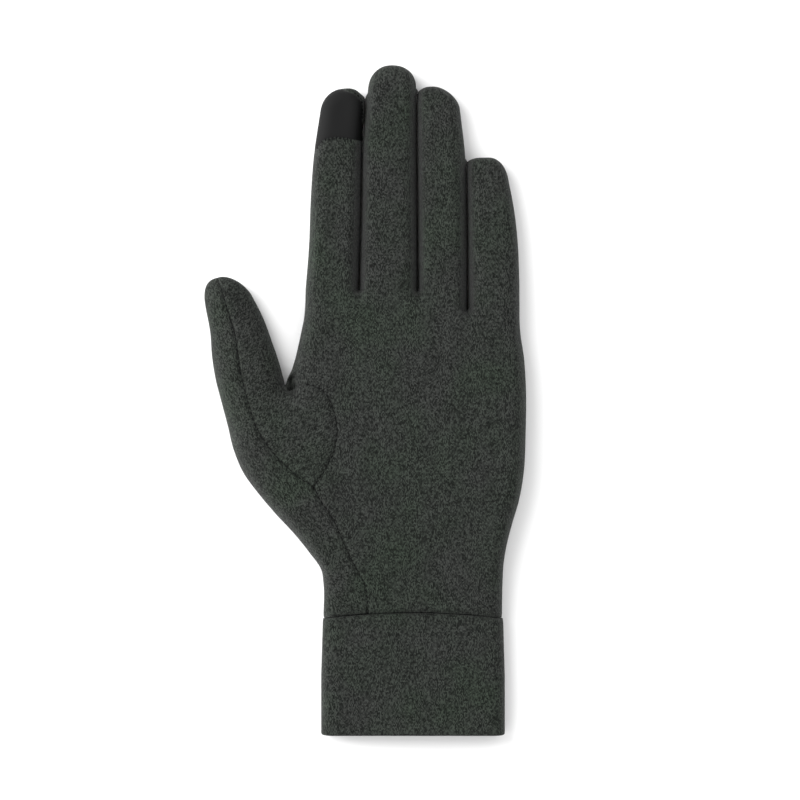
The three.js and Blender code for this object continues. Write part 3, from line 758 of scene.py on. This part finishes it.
def stitch_row(name, line, pitch, length, radius, across):
    """Equal stitches at even steps along a seam, turned across it or along it."""
    run = np.r_[0, np.cumsum(np.hypot(*np.diff(line, axis=0).T))]
    at = np.arange(pitch, run[-1] - pitch / 2, pitch)
    spot = np.stack([np.interp(at, run, line[:, i]) for i in (0, 1)], axis=1)
    ahead = np.stack([np.interp(at + 0.4, run, line[:, i]) for i in (0, 1)], axis=1) - spot
    ahead /= np.linalg.norm(ahead, axis=1, keepdims=True)
    if across:
        ahead = np.stack([-ahead[:, 1], ahead[:, 0]], axis=1)
    sideways = np.stack([-ahead[:, 1], ahead[:, 0]], axis=1)
    low = surface_height(spot - ahead * length / 2)
    high = surface_height(spot + ahead * length / 2)
    points, face = capsule(length, radius)
    plan = spot[:, None] + points[None, :, :1] * ahead[:, None] + points[None, :, 1:2] * sideways[:, None]
    share = points[None, :, 0] / length + 0.5
    height = low[:, None] * (1 - share) + high[:, None] * share + points[None, :, 2] * 0.8 + radius * 0.3
    moved = np.dstack([plan, height]).reshape(-1, 3)
    joined = (face[None] + np.arange(len(at))[:, None, None] * len(points)).reshape(-1, 4)
    mesh_faces = [tuple(dict.fromkeys(f)) for f in joined.tolist()]
    mesh = bpy.data.meshes.new(name)
    mesh.from_pydata((moved * MM + WRIST).tolist(), [], mesh_faces)
    mesh.update()
    mesh.shade_smooth()
    piece = bpy.data.objects.new(name, mesh)
    bpy.context.scene.collection.objects.link(piece)
    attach(piece, "root")
    print(name, len(at), "stitches")
    return piece


def part_of(line, low, high):
    """The stretch of a seam between two shares of its length."""
    return line[int(low * len(line)):int(high * len(line))]


arch_stitches = stitch_row(
    "arch_stitches", part_of(ARCH_SEAM, 0.2, 0.97), 2.2, 1.2, 0.3, False)
thumb_stitches = stitch_row(
    "thumb_stitches", part_of(THUMB_SEAM, 0.045, 0.95), 2.2, 1.4, 0.24, False)
tip_stitches = stitch_row(
    "tip_stitches", part_of(TIP_LOWER_SEAM, 0.2, 0.85) - (0, 0.35), 1.4, 1.1, 0.3, True)
tip_side_stitches = stitch_row(
    "tip_side_stitches", part_of(TIP_SIDE_SEAM, 0.35, 0.8), 1.4, 1.0, 0.26, False)

# %% [markdown]
# ## The knit
# Fine jersey shows columns of small V stitches about 0.8 mm wide. The yarn is spun from
# wool dyed in several dark greens and greys, so it is flecked from stitch to stitch and
# drifts slowly in tone over a few centimetres. The V is a height worked out from the cloth
# map, and the flecks and drift are noise. The V height is also added to the colour, so the
# raised legs are painted lighter and the grooves painted darker: painted shade of the relief.

# %% Node helpers


def material(name):
    """An empty node material with a Principled shader and its output."""
    made = bpy.data.materials.new(name)
    made.use_nodes = True
    tree = made.node_tree
    tree.nodes.clear()
    shader = tree.nodes.new("ShaderNodeBsdfPrincipled")
    output = tree.nodes.new("ShaderNodeOutputMaterial")
    tree.links.new(shader.outputs[0], output.inputs[0])
    return made, tree, shader


def math_node(tree, operation, *values):
    """One Math node. Numbers are set on its sockets and links go into them."""
    node = tree.nodes.new("ShaderNodeMath")
    node.operation = operation
    for socket, value in zip(node.inputs, values):
        if isinstance(value, (int, float)):
            socket.default_value = value
        else:
            tree.links.new(value, socket)
    return node.outputs[0]


def noise_node(tree, vector, scale, detail=2.0, rough=0.5):
    """Noise from 0 to 1 on a vector."""
    node = tree.nodes.new("ShaderNodeTexNoise")
    tree.links.new(vector, node.inputs["Vector"])
    node.inputs["Scale"].default_value = scale
    node.inputs["Detail"].default_value = detail
    node.inputs["Roughness"].default_value = rough
    return node.outputs["Fac"]


def mix_colors(tree, share, first, second):
    """Blend of two colours, each a tuple or a link."""
    node = tree.nodes.new("ShaderNodeMix")
    node.data_type = "RGBA"
    tree.links.new(share, node.inputs[0])
    for socket, value in ((node.inputs[6], first), (node.inputs[7], second)):
        if isinstance(value, tuple):
            socket.default_value = (*value, 1)
        else:
            tree.links.new(value, socket)
    return node.outputs[2]


def ramp(tree, value, low, high):
    """Straight rise from 0 to 1 between two values, held outside them."""
    node = tree.nodes.new("ShaderNodeMapRange")
    tree.links.new(value, node.inputs["Value"])
    node.inputs["From Min"].default_value = low
    node.inputs["From Max"].default_value = high
    return node.outputs[0]


# %% Knit material
WALE, COURSE = 0.78, 0.52


def knit(name, dark, light, green, turn=0.0, wale=WALE):
    """Flecked jersey: dark and light yarn by fine noise, green drift by slow noise, and a
    bump of V stitches, height = ridge(leg across) * sine(course + slope of the leg). The same
    height also lightens the raised legs and darkens the grooves in the colour, as painted shade."""
    made, tree, shader = material(name)
    uv = tree.nodes.new("ShaderNodeUVMap")
    uv.uv_map = "cloth"
    mapping = tree.nodes.new("ShaderNodeMapping")
    tree.links.new(uv.outputs[0], mapping.inputs["Vector"])
    mapping.inputs["Scale"].default_value = (CLOTH_SPAN, CLOTH_SPAN, CLOTH_SPAN)
    mapping.inputs["Rotation"].default_value = (0, 0, turn)
    cloth = mapping.outputs[0]
    parts = tree.nodes.new("ShaderNodeSeparateXYZ")
    tree.links.new(cloth, parts.inputs[0])
    object_place = tree.nodes.new("ShaderNodeTexCoord").outputs["Object"]

    wobble = math_node(tree, "SUBTRACT", noise_node(tree, cloth, 0.35), 0.5)
    columns = math_node(tree, "DIVIDE", parts.outputs[0], wale)
    across = math_node(tree, "ADD", columns, math_node(tree, "MULTIPLY", wobble, 0.7))
    from_middle = math_node(tree, "SUBTRACT", math_node(tree, "FRACT", across), 0.5)
    leg = math_node(tree, "ABSOLUTE", from_middle)
    from_leg = math_node(tree, "ABSOLUTE", math_node(tree, "SUBTRACT", leg, 0.25))
    fall = math_node(tree, "POWER", math_node(tree, "MULTIPLY", from_leg, 4.0), 2.0)
    ridge = math_node(tree, "SUBTRACT", 1.0, fall)
    rows = math_node(tree, "DIVIDE", parts.outputs[1], COURSE)
    phase = math_node(tree, "ADD", rows, math_node(tree, "MULTIPLY", leg, 1.4))
    half_turn = math_node(tree, "MULTIPLY", math_node(tree, "FRACT", phase), 3.14159)
    beat = math_node(tree, "SINE", half_turn)
    swell = math_node(tree, "ADD", math_node(tree, "MULTIPLY", beat, 0.6), 0.4)
    stitch = math_node(tree, "MULTIPLY", ridge, swell)

    cell = tree.nodes.new("ShaderNodeCombineXYZ")
    tree.links.new(math_node(tree, "FLOOR", math_node(tree, "MULTIPLY", across, 2.0)), cell.inputs[0])
    tree.links.new(math_node(tree, "FLOOR", phase), cell.inputs[1])
    dyed = tree.nodes.new("ShaderNodeTexWhiteNoise")
    dyed.noise_dimensions = "2D"
    tree.links.new(cell.outputs[0], dyed.inputs["Vector"])
    fleck = ramp(tree, noise_node(tree, cloth, 2.7, 1.0, 0.5), 0.3, 0.7)
    fibre = noise_node(tree, cloth, 3.6, 2.0, 0.6)
    stretched = tree.nodes.new("ShaderNodeMapping")
    tree.links.new(cloth, stretched.inputs["Vector"])
    stretched.inputs["Scale"].default_value = (0.15, 1.4, 1)
    streak = ramp(tree, noise_node(tree, stretched.outputs[0], 1.0, 2.0, 0.6), 0.25, 0.75)
    drift = noise_node(tree, object_place, 48.0, 2.0, 0.5)
    yarn_part = math_node(tree, "MULTIPLY", dyed.outputs["Value"], 0.58)
    fleck_part = math_node(tree, "MULTIPLY", fleck, 0.08)
    streak_part = math_node(tree, "MULTIPLY", streak, 0.1)
    # painted shade: the stitch height makes the raised legs lighter and the grooves between them darker in
    # the colour
    stitch_relief_shade = math_node(tree, "MULTIPLY", stitch, 0.24)
    fine_parts = math_node(tree, "ADD", yarn_part, math_node(tree, "ADD", fleck_part, stitch_relief_shade))
    mixed = math_node(tree, "ADD", fine_parts, streak_part)
    tone = math_node(tree, "POWER", ramp(tree, mixed, 0.16, 0.86), 1.4)
    yarn = mix_colors(tree, tone, dark, light)
    green_yarn = mix_colors(tree, tone, tuple(0.15 * v for v in green), tuple(2.4 * v for v in green))
    color = mix_colors(tree, ramp(tree, drift, 0.4, 0.75), yarn, green_yarn)
    tree.links.new(color, shader.inputs["Base Color"])
    shader.inputs["Roughness"].default_value = 0.92
    shader.inputs["Specular IOR Level"].default_value = 0.08
    shader.inputs["Sheen Weight"].default_value = 0.1
    shader.inputs["Sheen Roughness"].default_value = 0.35

    height = math_node(tree, "ADD", stitch, math_node(tree, "MULTIPLY", fibre, 0.5))
    bump = tree.nodes.new("ShaderNodeBump")
    bump.inputs["Strength"].default_value = 0.7
    bump.inputs["Distance"].default_value = 0.16 * MM
    tree.links.new(height, bump.inputs["Height"])
    tree.links.new(bump.outputs[0], shader.inputs["Normal"])
    return made


DARK, LIGHT, GREEN = (0.0025, 0.0029, 0.0026), (0.0460, 0.0493, 0.0455), (0.0175, 0.0225, 0.0172)
palm_cloth.data.materials.append(knit("palm_knit", DARK, LIGHT, GREEN))
back_cloth.data.materials.append(knit("back_knit", DARK, LIGHT, GREEN, turn=-0.35))
gusset_cloth.data.materials.append(knit("gusset_knit", DARK, LIGHT, GREEN, turn=0.5))
cuff_cloth.data.materials.append(knit("cuff_knit", DARK, LIGHT, GREEN))

# %% [markdown]
# ## The cloth tip and the thread
# The fingertip is a dense smooth black cloth that conducts. It is matt, with a very fine
# grain and no knit showing. The thread is plain dark polyester.

# %% Tip cloth and thread


def plain_cloth(name, color, rough, grain, depth):
    """Dense cloth or thread: one colour varied slightly by fine noise, and a fine bump."""
    made, tree, shader = material(name)
    place = tree.nodes.new("ShaderNodeTexCoord").outputs["Object"]
    fine = noise_node(tree, place, grain, 3.0, 0.6)
    low, high = tuple(0.85 * v for v in color), tuple(1.15 * v for v in color)
    tree.links.new(mix_colors(tree, fine, low, high), shader.inputs["Base Color"])
    shader.inputs["Roughness"].default_value = rough
    shader.inputs["Specular IOR Level"].default_value = 0.12
    bump = tree.nodes.new("ShaderNodeBump")
    bump.inputs["Strength"].default_value = 0.4
    bump.inputs["Distance"].default_value = depth * MM
    tree.links.new(fine, bump.inputs["Height"])
    tree.links.new(bump.outputs[0], shader.inputs["Normal"])
    return made


touch_cloth.data.materials.append(plain_cloth("touch_cloth", (0.0056, 0.0057, 0.0058), 0.75, 2500.0, 0.04))
thread = plain_cloth("thread", (0.003, 0.0034, 0.0034), 0.8, 3000.0, 0.03)
for piece in (arch_stitches, thumb_stitches, tip_stitches, tip_side_stitches):
    piece.data.materials.append(thread)

# %% [markdown]
# ## Floor and light
# The glove lies on a white table under soft light. A wide lamp at the upper left gives the
# soft shadow to the right and below, a low lamp at the left catches the cloth that faces
# it, and the bright sky fills the rest.

# %% Floor and light
floor_mesh = bpy.data.meshes.new("floor")
floor_mesh.from_pydata([(-3, -3, -5e-5), (3, -3, -5e-5), (3, 3, -5e-5), (-3, 3, -5e-5)], [], [(0, 1, 2, 3)])
floor = bpy.data.objects.new("floor", floor_mesh)
bpy.context.scene.collection.objects.link(floor)
floor_paint, _, floor_shader = material("floor_paint")
floor_shader.inputs["Base Color"].default_value = (0.9, 0.9, 0.9, 1)
floor_shader.inputs["Roughness"].default_value = 1.0
floor_shader.inputs["Specular IOR Level"].default_value = 0.0
floor_mesh.materials.append(floor_paint)

world = bpy.data.worlds.new("sky")
bpy.context.scene.world = world
world.use_nodes = True
world.node_tree.nodes["Background"].inputs[0].default_value = (1, 1, 1, 1)
world.node_tree.nodes["Background"].inputs[1].default_value = 1.15


def add_lamp(name, place, size, power):
    """A soft round lamp that points at the middle of the glove."""
    data = bpy.data.lights.new(name, "AREA")
    data.shape = "DISK"
    data.size = size
    data.energy = power
    lamp = bpy.data.objects.new(name, data)
    bpy.context.scene.collection.objects.link(lamp)
    lamp.location = place
    lamp.rotation_mode = "QUATERNION"
    lamp.rotation_quaternion = (-Vector(place)).to_track_quat("-Z", "Y")
    print(name, power, "W")


add_lamp("key_lamp", (-0.9, 0.65, 1.45), 1.1, 22)
add_lamp("side_lamp", (-1.6, 0.3, 0.35), 0.7, 26)
bpy.context.scene.view_settings.view_transform = "Standard"
print("floor and light ready")
